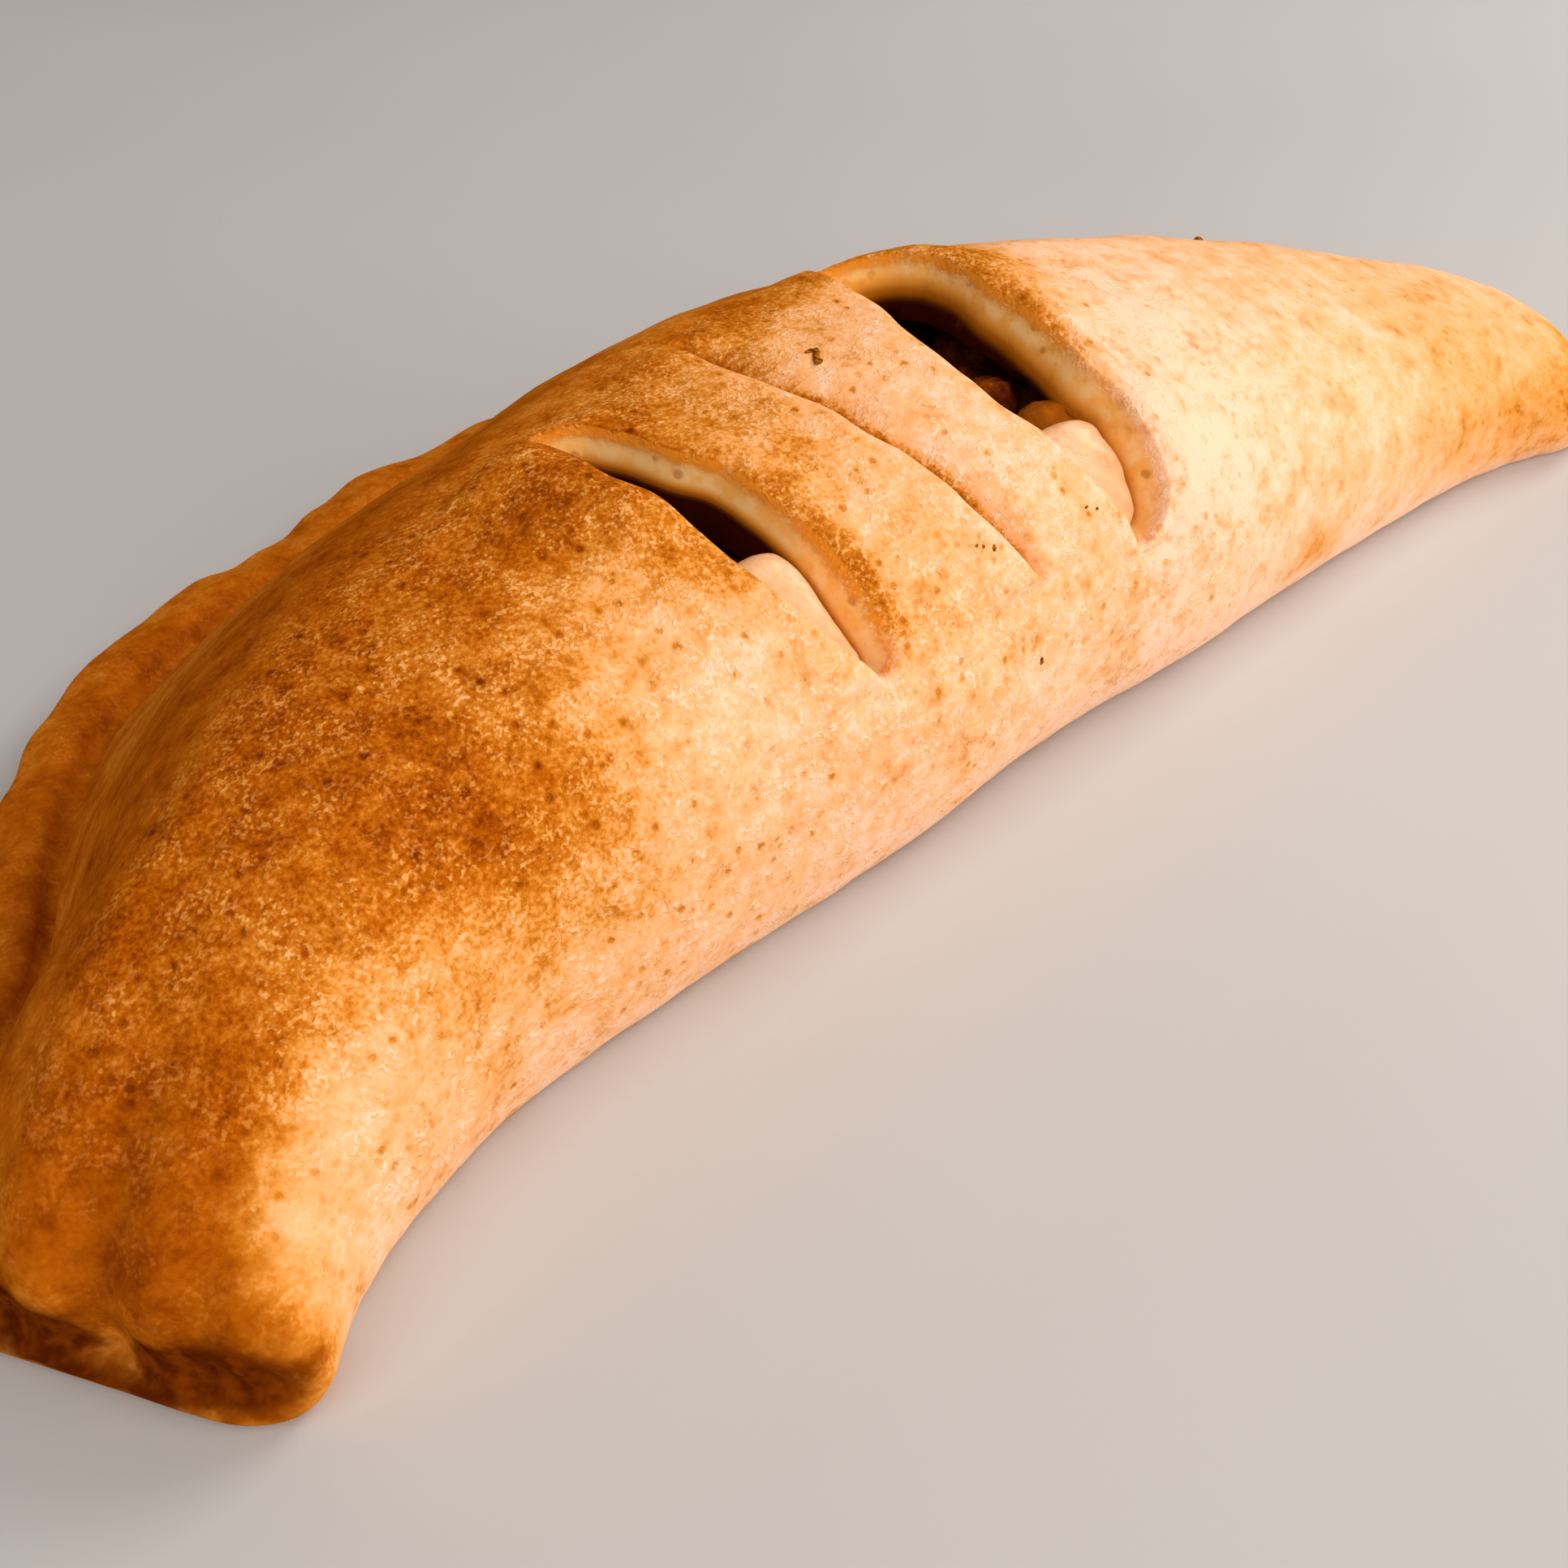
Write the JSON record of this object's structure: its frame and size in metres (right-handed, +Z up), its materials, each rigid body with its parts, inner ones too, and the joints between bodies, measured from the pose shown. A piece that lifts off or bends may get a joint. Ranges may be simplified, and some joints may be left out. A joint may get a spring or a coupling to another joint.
{
  "type": "stromboli",
  "caption": "Baked folded pizza dough crescent with a crimped seam and vent slits over a meat and cheese filling.",
  "frame": {"origin": "middle of the loaf's plan box, on the table it rests on", "axes": "+X along the loaf towards its pinched tip, -Y towards the folded side, +Y towards the crimped seam, +Z up"},
  "size_m": [0.3084, 0.1388, 0.0519],
  "materials": {
    "baked_dough": null,
    "melted_cheese": "smooth cream-white melted cheese, soft gloss; gloss plastic stands in",
    "meat_filling": "dark red-brown meat in sauce, oily gloss; gloss plastic stands in"
  },
  "bodies": {
    "root": {"dough": "baked_dough", "cheese": "melted_cheese", "filling": "meat_filling"}
  },
  "joints": []
}
